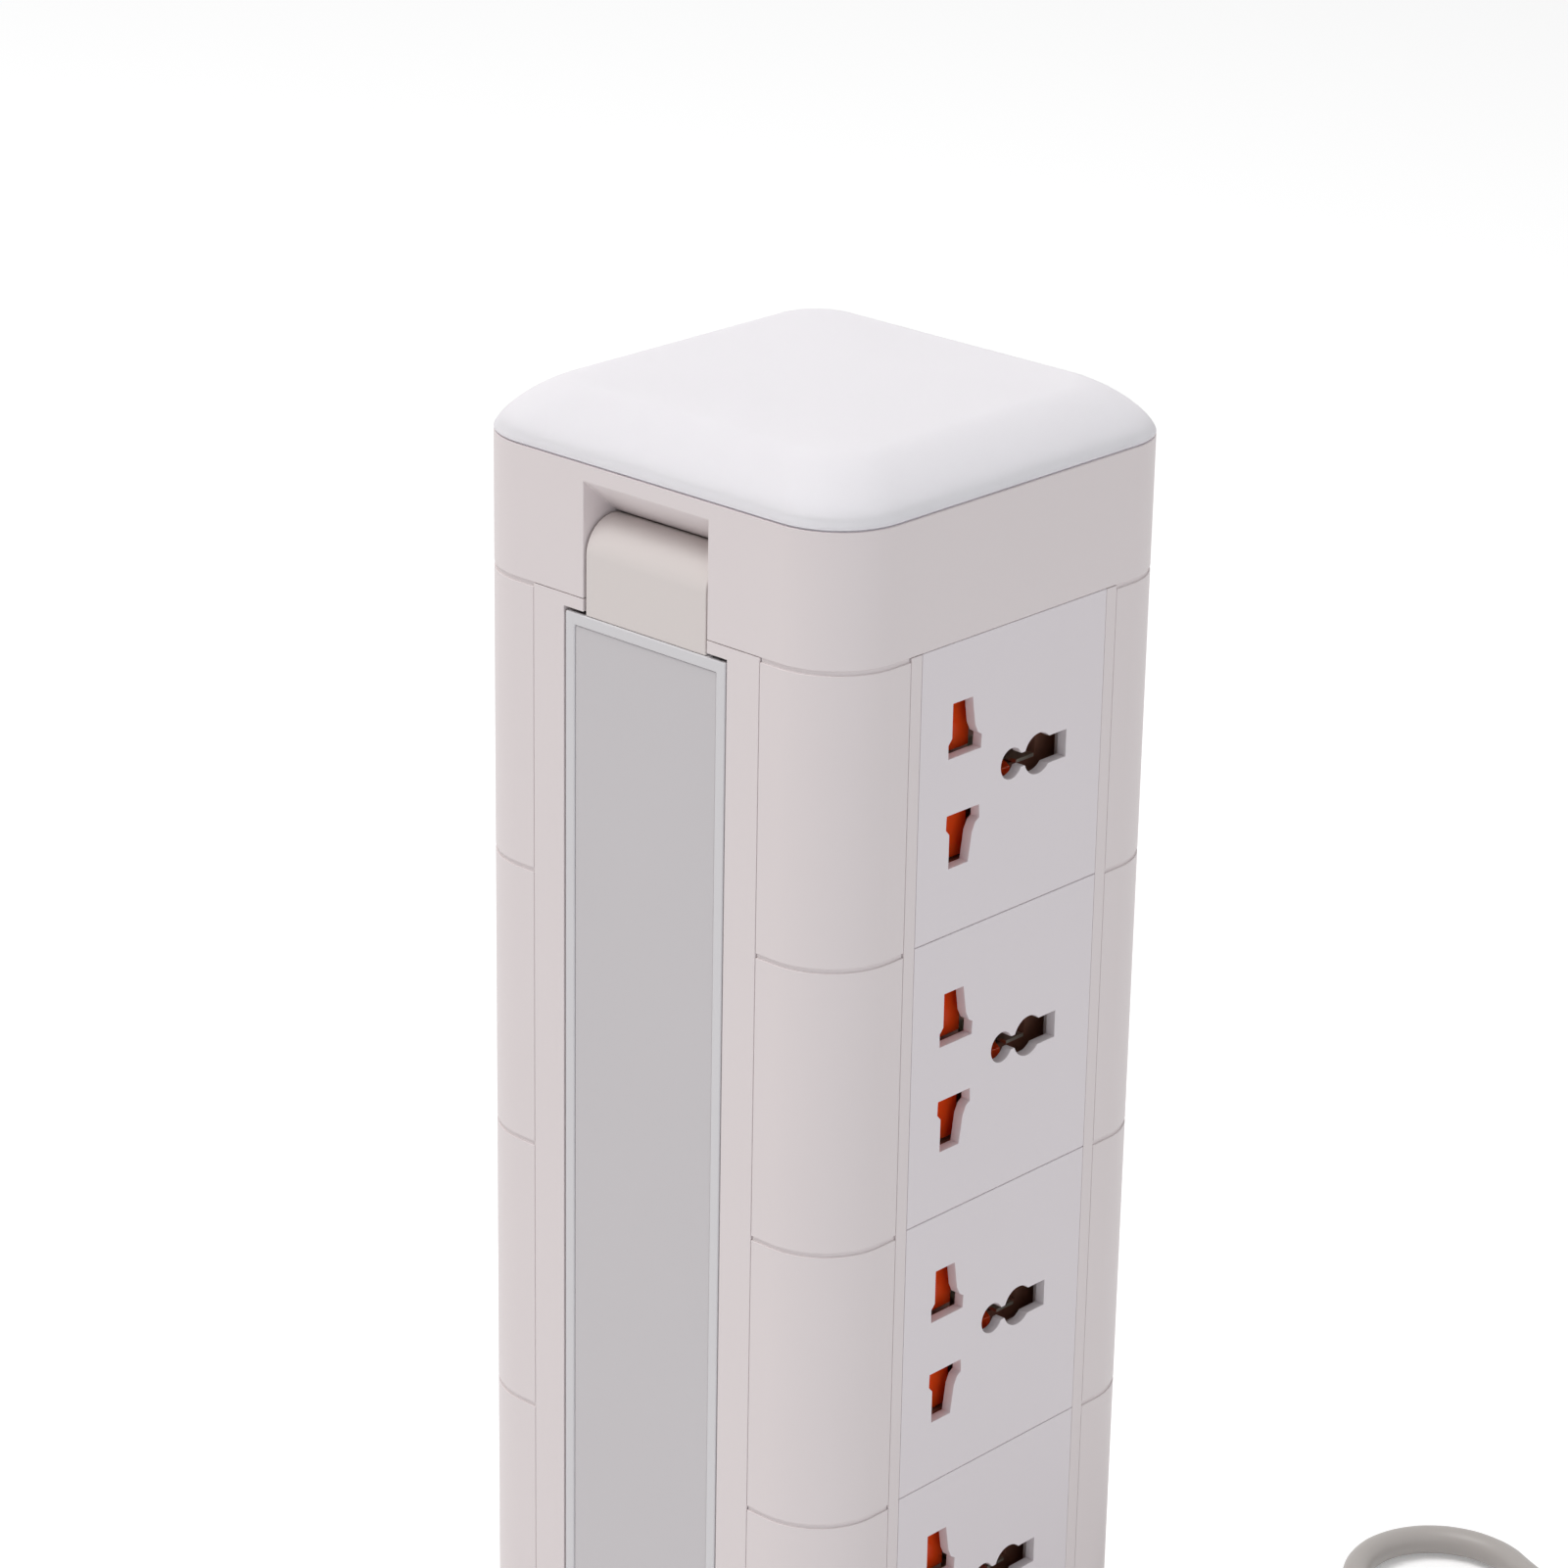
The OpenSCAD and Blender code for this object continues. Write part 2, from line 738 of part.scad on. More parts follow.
module head_ring() {
    color(body_tone)
        difference() {
            union() {
                translate([0, 0, head_z])
                    linear_extrude(head_h)
                        difference() {
                            rounded_square(tower_w, corner_r);
                            rounded_square(inner_w, inner_r);
                        }
                translate([-bay_half - bay_wall, -half_w + wall_t / 2, head_z])
                    cube([2 * (bay_half + bay_wall), bay_depth + bay_wall - wall_t / 2, deck_z - head_z]);
                translate([0, 0, head_z])
                    linear_extrude(deck_z - head_z) {
                        at_rods()
                            circle(rod_boss_r);
                        for (a = [45, 135, 225, 315])
                            rotate(a)
                                box2(rod_pos * sqrt(2),
                                    half_w * sqrt(2) - corner_r * (sqrt(2) - 1) - wall_t / 2,
                                    -web_t / 2, web_t / 2);
                    }
            }
            on_face(-90)
                rotate([0, 90, 0])
                    translate([0, head_z, -bay_half])
                        linear_extrude(2 * bay_half)
                            polygon([[-over, -over], [-over, bay_top + over * bay_slope_share], [0, bay_top],
                                [bay_slope_d, bay_ceiling], [bay_depth, bay_ceiling], [bay_depth, -over]]);
            translate([0, -half_w + pin_depth, head_z + pin_rise])
                rotate([0, 90, 0])
                    cylinder(h = 2 * (bay_half + bay_wall) + over, r = pin_r + rod_fit / 2, center = true);
            translate([0, 0, head_z - over])
                linear_extrude(top_z - rod_top_drop - head_z + over)
                    at_rods()
                        circle(rod_r + rod_fit);
        }
}

module head_deck() {
    color(plate_tone)
        translate([0, 0, deck_z])
            linear_extrude(deck_t)
                difference() {
                    rounded_square(inner_w - clear, inner_r);
                    translate([0, wire_hole_y])
                        circle(wire_hole_r);
                }
}

night_board_r = 24;
night_lamp_ring_r = 17;
night_lamp_r = 1.8;
night_lamp_low = 1.2;
night_lamp_h = 1.4;

module night_light_board() {
    color(board_tone)
        translate([0, 0, deck_z + deck_t]) {
            difference() {
                cylinder(h = board_t, r = night_board_r);
                translate([0, wire_hole_y, -over])
                    cylinder(h = board_t + 2 * over, r = wire_hole_r - over);
            }
            for (a = [0:45:315])
                rotate(a)
                    translate([night_lamp_ring_r, 0, night_lamp_low])
                        cylinder(h = night_lamp_h, r = night_lamp_r);
        }
}

// Points of one level outline of the dome
ring_steps = 8;
function dome_ring(w, r, z) = [
    for (q = [0:3], i = [0:ring_steps])
        let (a = q * 90 + i * 90 / ring_steps, c = w / 2 - r,
            s = [[1, 1], [-1, 1], [-1, -1], [1, -1]][q])
        [s[0] * c + r * cos(a), s[1] * c + r * sin(a), z]];

// A solid through stacked outlines of equal count
module loft(rings) {
    n = len(rings[0]);
    m = len(rings);
    polyhedron(
        points = [for (ring = rings) each ring],
        faces = concat(
            [[for (i = [0:n - 1]) i]],
            [for (j = [0:m - 2], i = [0:n - 1])
                [j * n + i, (j + 1) * n + i, (j + 1) * n + (i + 1) % n]],
            [for (j = [0:m - 2], i = [0:n - 1])
                [j * n + i, (j + 1) * n + (i + 1) % n, j * n + (i + 1) % n]],
            [[for (i = [n - 1:-1:0]) (m - 1) * n + i]]));
}

dome_least_r = 2;
dome_steps = 6;
crown_steps = 3;
// Outlines of the dome's skin, drawn in by the inset
function dome_skin(inset, z0) = concat(
    [for (i = [0:dome_steps])
        let (a = i * 90 / dome_steps, draw = dome_edge_w * (1 - pow(cos(a), 2 / dome_edge_n)))
        dome_ring(tower_w - 2 * inset - 2 * draw, max(corner_r - inset - draw / 2, dome_least_r),
            z0 + (dome_edge_h - inset) * pow(sin(a), 2 / dome_edge_n))],
    [for (i = [1:crown_steps])
        let (s = i / (crown_steps + 1), w = (tower_w - 2 * inset - 2 * dome_edge_w) * (1 - s))
        dome_ring(w, (corner_r - inset - dome_edge_w / 2) * (1 - s),
            z0 + dome_edge_h - inset + dome_crown * (1 - (1 - s) * (1 - s)))]);

// Thin groove between the head and the dome
seam_w = 0.4;
seam_h = 0.4;

module dome() {
    color(dome_tone) {
        difference() {
            loft(concat([dome_ring(tower_w - 2 * seam_w, corner_r - seam_w, top_z),
                dome_ring(tower_w - 2 * seam_w, corner_r - seam_w, top_z + seam_h)],
                dome_skin(0, top_z + seam_h)));
            loft(concat([dome_ring(tower_w - 2 * dome_t, corner_r - dome_t, top_z - over)],
                dome_skin(dome_t, top_z + seam_h)));
        }
        translate([0, 0, deck_z + deck_t])
            linear_extrude(top_z - deck_z - deck_t)
                difference() {
                    rounded_square(inner_w - 2 * clear, inner_r - clear);
                    rounded_square(tower_w - 2 * wall_t - 2 * dome_t, inner_r - dome_t);
                }
        translate([0, 0, top_z])
            linear_extrude(dome_t)
                difference() {
                    rounded_square(tower_w - dome_t, corner_r - dome_t / 2);
                    rounded_square(tower_w - 2 * wall_t - 2 * dome_t, inner_r - dome_t);
                }
    }
}

// Lamp, hung on the knuckle and folded into the front panel's pocket
shoulder_d = 1;
shoulder_drop = 1.6;
diffuser_d = 0.25;
diffuser_t = 1.95;
tongue_half = 8;
tongue_l = 12;
tongue_front_d = 3.4;
tongue_back_d = 8.2;
back_t = 1.4;
glass_ledge = 1.4;

module lamp_frame() {
    half = lamp_w / 2;
    glass_half = half - lamp_rim;
    color(plate_tone)
        on_face(-90)
            difference() {
                slab(0, lamp_d)
                    box2(-half, half, lamp_bottom, lamp_top);
                slab(-over, diffuser_d + diffuser_t)
                    box2(-glass_half, glass_half, lamp_bottom + lamp_rim, lamp_top - lamp_rim);
                slab(0, lamp_d - back_t)
                    box2(-glass_half + glass_ledge, glass_half - glass_ledge,
                        lamp_bottom + 2 * lamp_rim, lamp_top - 2 * lamp_rim);
                for (s = [-1, 1])
                    slab(shoulder_d, lamp_d + over)
                        box2(min(s * (knuckle_w / 2 + clear), s * (half + over)),
                            max(s * (knuckle_w / 2 + clear), s * (half + over)),
                            lamp_top - shoulder_drop, lamp_top + over);
                slab(tongue_front_d - panel_gap, tongue_back_d + panel_gap)
                    box2(-tongue_half - panel_gap, tongue_half + panel_gap,
                        lamp_top - 3 * lamp_rim, lamp_top + over);
            }
}

module lamp_diffuser() {
    glass_half = lamp_w / 2 - lamp_rim - panel_gap / 2;
    color(frost_tone)
        on_face(-90)
            slab(diffuser_d, diffuser_d + diffuser_t)
                box2(-glass_half, glass_half, lamp_bottom + lamp_rim + panel_gap / 2,
                    lamp_top - lamp_rim - panel_gap / 2);
}

led_pitch = 13;
led_free = 22;
led_rows = floor((lamp_l - led_free) / led_pitch);
led_x = 7;
led_start = 12;
led_size = [2.8, 3.5];
led_h = 0.8;
lamp_board_half = 14;
lamp_board_t = 1.4;
lamp_board_end = 6;
lamp_board_top = 4;
led_sink = 0.2;

module lamp_board() {
    color(board_tone)
        on_face(-90) {
            slab(lamp_d - back_t - lamp_board_t, lamp_d - back_t)
                box2(-lamp_board_half, lamp_board_half, lamp_bottom + lamp_board_end,
                    lamp_top - tongue_l - lamp_board_top);
            for (i = [0:led_rows - 1], s = [-1, 1])
                slab(lamp_d - back_t - lamp_board_t - led_h, lamp_d - back_t - lamp_board_t + led_sink)
                    translate([s * led_x, lamp_bottom + led_start + i * led_pitch])
                        square(led_size, center = true);
        }
}

module hinge_knuckle() {
    color(body_tone)
        on_face(-90) {
            difference() {
                rotate([0, 90, 0])
                    translate([0, head_z, -knuckle_w / 2])
                        linear_extrude(knuckle_w) {
                            translate([pin_depth, pin_rise])
                                circle(knuckle_r);
                            box2(pin_depth - knuckle_r, lamp_d, -lamp_top_drop + panel_gap / 2, pin_rise);
                        }
                translate([0, head_z + pin_rise, -pin_depth])
                    rotate([0, 90, 0])
                        cylinder(h = knuckle_w + over, r = pin_r + rod_fit, center = true);
            }
            slab(tongue_front_d, tongue_back_d)
                box2(-tongue_half, tongue_half, lamp_top - tongue_l, lamp_top + panel_gap);
        }
}

module hinge_pin() {
    color(steel_tone)
        translate([0, -half_w + pin_depth, head_z + pin_rise])
            rotate([0, 90, 0])
                cylinder(h = 2 * (bay_half + bay_wall - clear), r = pin_r, center = true);
}

// Master switch in the rear panel
rocker_pin_d = 1.4;
rocker_half_w = 8.2;
rocker_r = 5.4;
rocker_tilt = 9;
rocker_pin_r = 0.9;
rocker_pin_end = 0.6;
rocker_low = 2;
rocker_reach = 6;
rocker_edge_h = 4.8;
rocker_valley_h = 3.1;

module rocker_bezel() {
    color(black_tone)
        on_face(90)
            translate([0, switch_z, 0])
                difference() {
                    union() {
                        slab(-bezel_t, 0)
                            square([bezel_w, bezel_h], center = true);
                        slab(0, switch_depth)
                            square([switch_w, switch_h], center = true);
                    }
                    slab(-bezel_t - over, switch_depth - bezel_t)
                        square([2 * rocker_half_w + groove_gap, 2 * (rocker_r + groove_gap)], center = true);
                    translate([0, 0, -rocker_pin_d])
                        rotate([0, 90, 0])
                            cylinder(h = switch_w - bezel_t / 2, r = rocker_pin_r + rod_fit, center = true);
                }
}

module rocker() {
    color(red_tone)
        on_face(90)
            translate([0, switch_z, -rocker_pin_d])
                rotate([rocker_tilt, 0, 0]) {
                    // Two flats that meet in a shallow valley, with ends rounded about the pivot
                    rotate([90, 0, 90])
                        translate([0, 0, -rocker_half_w])
                            linear_extrude(2 * rocker_half_w)
                                intersection() {
                                    circle(rocker_r);
                                    polygon([[-rocker_reach, -rocker_low], [rocker_reach, -rocker_low],
                                        [rocker_reach, rocker_edge_h], [0, rocker_valley_h],
                                        [-rocker_reach, rocker_edge_h]]);
                                }
                    rotate([0, 90, 0])
                        cylinder(h = 2 * (rocker_half_w + rocker_pin_end), r = rocker_pin_r, center = true);
                }
}

// Breaker with its reset button under the switch
button_r = 3;
button_out = 3;
button_travel = 2;
button_well = 4;
nut_h = 1.2;
nut_rim = 1.4;
breaker_w = 12;
breaker_h = 18;
breaker_d = 10;

module breaker_body() {
    color(black_tone)
        on_face(90)
            translate([0, breaker_z, 0])
                difference() {
                    union() {
                        translate([0, 0, -panel_back_d])
                            cylinder(h = panel_back_d + nut_h, r = bush_r);
                        cylinder(h = nut_h, r = bush_r + nut_rim);
                        slab(panel_back_d, panel_back_d + breaker_d)
                            square([breaker_w, breaker_h], center = true);
                    }
                    translate([0, 0, -panel_back_d - button_well])
                        cylinder(h = panel_back_d + button_well + 2 * over, r = button_r + rod_fit);
                }
}

module reset_button() {
    color(red_tone)
        on_face(90)
            translate([0, breaker_z, -panel_back_d - button_well + button_travel + clear])
                cylinder(h = panel_back_d + button_well - button_travel - clear + button_out, r = button_r);
}

// Strain relief in the base's rear wall
gland_neck_r = 5.2;
gland_flange_r = 7;
gland_collar_r = 6.4;
gland_flange_t = 2;
gland_collar_t = 2.4;
gland_taper_at = 3;
gland_root_r = 5.2;
gland_tip_r = 4.2;

module cord_gland() {
    wall_y = base_w / 2;
    color(cord_tone)
        translate([0, 0, gland_z])
            rotate([-90, 0, 0])
                rotate_extrude()
                    polygon([[0, wall_y - base_wall - gland_flange_t],
                        [gland_flange_r, wall_y - base_wall - gland_flange_t],
                        [gland_flange_r, wall_y - base_wall], [gland_neck_r, wall_y - base_wall],
                        [gland_neck_r, wall_y], [gland_collar_r, wall_y],
                        [gland_collar_r, wall_y + gland_collar_t],
                        [gland_root_r, wall_y + gland_taper_at], [gland_tip_r, gland_end], [0, gland_end]]);
}

// Ring of points around a route, square to its local direction
function tangent(route, i) =
    let (a = route[max(i - 1, 0)], b = route[min(i + 1, len(route) - 1)], d = b - a)
    d / norm(d);
function ring_at(p, t, r, sides) =
    let (up = [0, 0, 1], side = cross(t, up), u = side / norm(side), v = cross(u, t))
    [for (i = [0:sides - 1]) let (a = (i + 0.5) * 360 / sides) p + r * (cos(a) * u + sin(a) * v)];

// Tube along a route; the two end rings stand square to the given directions
module tube(route, r, sides, t0, t1) {
    m = len(route);
    loft([for (i = [0:m - 1])
        ring_at(route[i], i == 0 ? t0 : i == m - 1 ? t1 : tangent(route, i), r, sides)]);
}

// Hank frame: s runs from the far folds to the near ones, w across, positive on the tower's side
hank_u = [cos(hank_turn), sin(hank_turn)];
hank_v = [sin(hank_turn), -cos(hank_turn)];
function hank_point(s, w, z) =
    let (p = hank_far + s * hank_u + w * hank_v) [p[0], p[1], z];

function ease(t) = let (u = min(max(t, 0), 1)) u * u * (3 - 2 * u);
// Radius of a loop's folds; the loops spiral in on the lower layer and out again on the upper
function loop_r(i) = fold_r + turn_step * loop_rings[i];
function loop_z(i) = hank_z + (i < 3 ? 0 : turn_step);
// Half width of a run at s: side 1 goes to the near folds, side -1 to the far ones
function run_w(i, side, s) =
    let (draw = waist * (1 - cos(360 * min(max((s - waist_s) / (hank_l - waist_s), 0), 1))) / 2,
        reach = loop_r(i) - fold_r)
    (i == 0 && side < 0 ? fold_r + reach * ease(s / first_taper)
        : i == 1 && side > 0 ? fold_r + reach * ease(s / second_taper) : loop_r(i)) - draw;

fold_rings = 10;
climb_start_share = 0.15;
climb_share = 0.65;
tail_s = (waist_s + hank_l) / 2;
// Places along the hank where every run that passes them has a ring
places = concat(run_places, [for (i = [0:waist_steps - 1]) waist_s + (hank_l - waist_s) * i / waist_steps]);
// The run of a loop from one place to another, its first point included and its last left out
function hank_run(i, side, s0, s1) =
    let (inner = [for (s = places) if (s > min(s0, s1) && s < max(s0, s1)) s], n = len(inner),
        all = concat([s0], s1 > s0 ? inner : [for (j = [n - 1:-1:0]) inner[j]]))
    [for (s = all) hank_point(s, side * run_w(i, side, s), loop_z(i))];
// A loop's near fold, run back and far fold, which ends where the next loop starts
function hank_loop(i) =
    let (r0 = i == 0 ? fold_r : loop_r(i), r1 = i == 0 ? fold_r : loop_r(i + 1), far = far_shifts[i])
    concat(
        hank_run(i, 1, i == 0 ? hank_start : far_shifts[i - 1], hank_l),
        [for (j = [0:fold_rings - 1])
            let (a = 180 * j / fold_rings)
            hank_point(hank_l + loop_r(i) * sin(a), loop_r(i) * cos(a), loop_z(i))],
        hank_run(i, -1, hank_l, far),
        [for (j = [0:fold_rings - 1])
            let (t = j / fold_rings, r = r0 + (r1 - r0) * t,
                z = loop_z(i) + (loop_z(i + 1) - loop_z(i)) * ease((t - climb_start_share) / climb_share))
            hank_point(far - r * sin(180 * t), -r * cos(180 * t), z)]);

coil_route = concat(
    [for (i = [0:4]) each hank_loop(i)],
    hank_run(5, 1, far_shifts[4], tail_s),
    [hank_point(tail_s, run_w(5, 1, tail_s), loop_z(5))],
    tail_route);

// Least gap of the hank to itself, between points at least two turns' width apart along it
function path_s(route) = [for (i = 0, s = 0; i < len(route);
    s = s + (i + 1 < len(route) ? norm(route[i + 1] - route[i]) : 0), i = i + 1) s];
coil_s = path_s(coil_route);
function split(route, n) = [for (i = [0:len(route) - 2], j = [0:n - 1])
    route[i] + (route[i + 1] - route[i]) * j / n];
fine = split(coil_route, 3);
fine_s = path_s(fine);
least_gap = min([for (i = [0:len(fine) - 1], j = [i + 1:1:len(fine) - 1])
    if (fine_s[j] - fine_s[i] > 3 * cord_d) norm(fine[i] - fine[j])]) - cord_d;
cord_s = path_s(cord_route);
echo(hank_length = coil_s[len(coil_s) - 1], lead_length = cord_s[len(cord_s) - 1]);
echo(hank_least_gap = least_gap);

module cord() {
    start = coil_route[0];
    lead = cord_d * [hank_u[0], hank_u[1], 0];
    color(cord_tone)
        tube(concat(cord_route, [start - lead, start]), cord_r, cord_sides, [0, 1, 0], lead / cord_d);
}

module cord_coil() {
    color(cord_tone)
        tube(coil_route, cord_r, coil_sides, [hank_u[0], hank_u[1], 0], [0, -1, 0]);
}

// Tie around the hank's waist
tie_s = 94;
tie_w = 7;
tie_side_gap = 0.3;

module cord_tie() {
    half = run_w(5, 1, tie_s - tie_w / 2) + cord_r + tie_side_gap;
    low = hank_z - cord_r - tie_low_gap;
    high = loop_z(5) + cord_r + tie_side_gap;
    color(body_tone)
        translate([hank_far[0], hank_far[1], 0])
            rotate([0, 0, hank_turn])
                translate([tie_s - tie_w / 2, 0, 0])
                    difference() {
                        translate([0, -half - tie_t, low - tie_t])
                            cube([tie_w, 2 * (half + tie_t), high - low + 2 * tie_t]);
                        translate([-over, -half, low])
                            cube([tie_w + 2 * over, 2 * half, high - low]);
                    }
}

// Fused three-pin plug, lying on its back at the hank's end
plug_relief = 22;
plug_l = 50;
plug_w = 48;
plug_h = 20;
plug_r = 9;
relief_tip = 0.6;
relief_root = 1.8;
pole_pin_x = 11.1;
pole_pin = [4, 6.4, 17.8];
earth_pin = [8, 4, 22.8];
earth_pin_y = 22.2;

module at_plug() {
    end = tail_route[len(tail_route) - 1];
    translate([end[0], end[1], 0])
        rotate([0, 0, -90])
            children();
}

module plug_body() {
    z = tail_route[len(tail_route) - 1][2];
    color(cord_tone)
        at_plug() {
            translate([0, 0, z])
                rotate([0, 90, 0])
                    cylinder(h = plug_relief + over, r1 = cord_r + relief_tip, r2 = cord_r + relief_root);
            translate([plug_relief, 0, 0])
                linear_extrude(plug_h) {
                    translate([0, -plug_w / 2 + plug_r])
                        square([plug_l, plug_w - 2 * plug_r]);
                    translate([plug_r, -plug_w / 2])
                        square([plug_l - 2 * plug_r, plug_w]);
                    for (sx = [plug_r, plug_l - plug_r], sy = [-1, 1])
                        translate([sx, sy * (plug_w / 2 - plug_r)])
                            circle(plug_r);
                }
        }
}

module plug_pins() {
    color(brass_tone)
        at_plug()
            translate([plug_relief + plug_l / 3, 0, plug_h]) {
                for (s = [-1, 1])
                    translate([0, s * pole_pin_x, pole_pin[2] / 2])
                        cube(pole_pin, center = true);
                translate([earth_pin_y, 0, earth_pin[2] / 2])
                    cube(earth_pin, center = true);
            }
}

base_shell();
base_cover();
feet();
base_screws();
tie_rods();
power_board();
module_frame(1);  // module_frame_1
module_frame(2);  // module_frame_2
module_frame(3);  // module_frame_3
module_frame(4);  // module_frame_4
module_frame(5);  // module_frame_5
front_panel();
rear_panel();
socket_panel(0);  // right_panel
socket_panel(180);  // left_panel
socket_plate(0, 1);  // right_socket_plate_1
socket_plate(0, 2);  // right_socket_plate_2
socket_plate(0, 3);  // right_socket_plate_3
socket_plate(0, 4);  // right_socket_plate_4
socket_plate(0, 5);  // right_socket_plate_5
socket_plate(180, 1);  // left_socket_plate_1
socket_plate(180, 2);  // left_socket_plate_2
socket_plate(180, 3);  // left_socket_plate_3
socket_plate(180, 4);  // left_socket_plate_4
socket_plate(180, 5);  // left_socket_plate_5
shutter(0, 1);  // right_shutter_1
shutter(0, 2);  // right_shutter_2
shutter(0, 3);  // right_shutter_3
shutter(0, 4);  // right_shutter_4
shutter(0, 5);  // right_shutter_5
shutter(180, 1);  // left_shutter_1
shutter(180, 2);  // left_shutter_2
shutter(180, 3);  // left_shutter_3
shutter(180, 4);  // left_shutter_4
shutter(180, 5);  // left_shutter_5
contact_carrier(0);  // right_contact_carrier
contact_carrier(180);  // left_contact_carrier
live_busbars();
neutral_busbars();
earth_busbars();
head_ring();
head_deck();
night_light_board();
dome();
lamp_frame();
lamp_diffuser();
lamp_board();
hinge_knuckle();
hinge_pin();
rocker_bezel();
rocker();
breaker_body();
reset_button();
cord_gland();
cord();
cord_coil();
cord_tie();
plug_body();
plug_pins();
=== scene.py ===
import json
import math

import bmesh
import bpy
from mathutils import Matrix, Vector

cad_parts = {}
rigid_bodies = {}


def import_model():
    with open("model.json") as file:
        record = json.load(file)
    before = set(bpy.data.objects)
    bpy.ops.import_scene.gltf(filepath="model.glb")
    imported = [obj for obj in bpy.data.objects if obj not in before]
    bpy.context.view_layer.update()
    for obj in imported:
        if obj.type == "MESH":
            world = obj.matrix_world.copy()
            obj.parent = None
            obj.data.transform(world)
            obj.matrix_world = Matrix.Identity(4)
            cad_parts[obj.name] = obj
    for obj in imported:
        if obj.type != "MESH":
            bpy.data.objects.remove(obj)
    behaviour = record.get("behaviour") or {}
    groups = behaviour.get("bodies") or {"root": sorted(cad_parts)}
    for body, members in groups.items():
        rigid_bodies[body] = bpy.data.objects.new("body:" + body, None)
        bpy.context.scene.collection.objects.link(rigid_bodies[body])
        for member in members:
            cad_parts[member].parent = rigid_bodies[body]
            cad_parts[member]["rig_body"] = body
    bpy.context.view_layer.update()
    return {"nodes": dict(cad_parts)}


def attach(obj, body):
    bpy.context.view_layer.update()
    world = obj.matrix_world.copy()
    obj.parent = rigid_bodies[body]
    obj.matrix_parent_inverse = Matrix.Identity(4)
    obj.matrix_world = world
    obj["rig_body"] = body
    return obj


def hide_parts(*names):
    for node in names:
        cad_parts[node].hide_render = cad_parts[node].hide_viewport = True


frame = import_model()
nodes = frame["nodes"]

# The view of the photograph: a long lens a little above the tower, turned so that the lamp's
# face is on the left and one column of sockets on the right.
mm = 0.001
view_turn, view_rise, view_roll = (math.radians(a) for a in (42.67, 21.27, 1.0))
view_place = Vector((0.53735, -0.59186, 0.55407))
focal_px, frame_px, film_mm = 4983, 1601, 36
back = Vector((
    math.sin(view_turn) * math.cos(view_rise),
    -math.cos(view_turn) * math.cos(view_rise),
    math.sin(view_rise),
))
level_right = Vector((math.cos(view_turn), math.sin(view_turn), 0))
level_up = back.cross(level_right)
right = level_right * math.cos(view_roll) + level_up * math.sin(view_roll)
up = level_up * math.cos(view_roll) - level_right * math.sin(view_roll)


def placed(name, data):
    """A new object in the scene, at the origin."""
    made = bpy.data.objects.new(name, data)
    bpy.context.scene.collection.objects.link(made)
    return made


camera = placed("camera", bpy.data.cameras.new("camera"))
camera.data.sensor_width = film_mm
camera.data.lens = film_mm * focal_px / frame_px
camera_turn = Matrix((right, up, back)).transposed().to_4x4()
camera.matrix_world = Matrix.Translation(view_place) @ camera_turn
bpy.context.scene.camera = camera

# The mains cord: round three-core cord with a matt grey PVC sheath. It leaves the base at the
# back, drops to the floor, and its spare length is folded into a hank of three rings in two
# layers, tied round its waist. The tail comes out over the hank's edge and ends in the plug.
cord_thick = 6.2 * mm
# The hank lies from its far fold towards the near one; s runs along it and w across it.
hank_step, hank_low = 6.9 * mm, 3.6 * mm
hank_far = Vector((10.8, 197.3, 0)) * mm
hank_turn = math.radians(-30)
hank_along = Vector((math.cos(hank_turn), math.sin(hank_turn), 0))
hank_across = Vector((hank_along.y, -hank_along.x, 0))
hank_long, fold_r = 128 * mm, 18.8 * mm
waist_at, waist_in = 70 * mm, 3 * mm
# Loops 0 to 2 lie on the floor and 3 to 5 on them. A loop's ring is 0 where it is innermost.
loop_count, first_upper = 6, 3
loop_rings = [2, 1, 0, 0, 1, 2]
far_shifts = [0, 52 * mm, 64 * mm, 52 * mm, 52 * mm]
first_start = 48 * mm
outer_swell, middle_swell = 46 * mm, 36 * mm
lift_from, lift_share = 0.15, 0.65
far_stations = [12 * mm, 23 * mm, 34 * mm, 46 * mm]
run_knots, fold_knots, knot_gap = 5, 10, 2 * mm
lead_mm = [
    (0, 83, 12), (0, 89.2, 12), (-0.4, 97, 11), (-1.6, 105.6, 8.2), (-3.2, 114, 5.2),
    (-4.3, 122, 3.7), (-1.9, 133.1, 3.4), (5.2, 142.4, 3.4), (15.6, 147.8, 3.4), (26.1, 148.5, 3.5),
]
tail_mm = [
    (88.8, 117.2, 10.6), (93.3, 111.6, 10.7), (96.2, 104.8, 9.1), (97, 97.2, 7), (97, 88, 6.6),
    (97, 79, 8.4), (97, 70.5, 10), (97, 64.3, 10),
]


def hank_point(s, w, z):
    """A point of the hank: s along it from the far fold, w across it, z above the floor."""
    p = hank_far + hank_along * s + hank_across * w
    return Vector((p.x, p.y, z))


def ease(t):
    """A share from 0 to 1 that starts and ends softly."""
    t = min(max(t, 0), 1)
    return t * t * (3 - 2 * t)


def layer_height(loop):
    """The height of a loop's centre line over the floor."""
    return hank_low + (hank_step if loop >= first_upper else 0)


def half_width(loop, side, s):
    """Half the distance between the two runs of a loop at s; side 1 goes to the near folds."""
    reach = hank_step * loop_rings[loop]
    if loop == 0 and side < 0:
        reach *= ease(s / outer_swell)
    if loop == 1 and side > 0:
        reach *= ease(s / middle_swell)
    drawn = min(max((s - waist_at) / (hank_long - waist_at), 0), 1)
    return fold_r + reach - waist_in * (1 - math.cos(2 * math.pi * drawn)) / 2


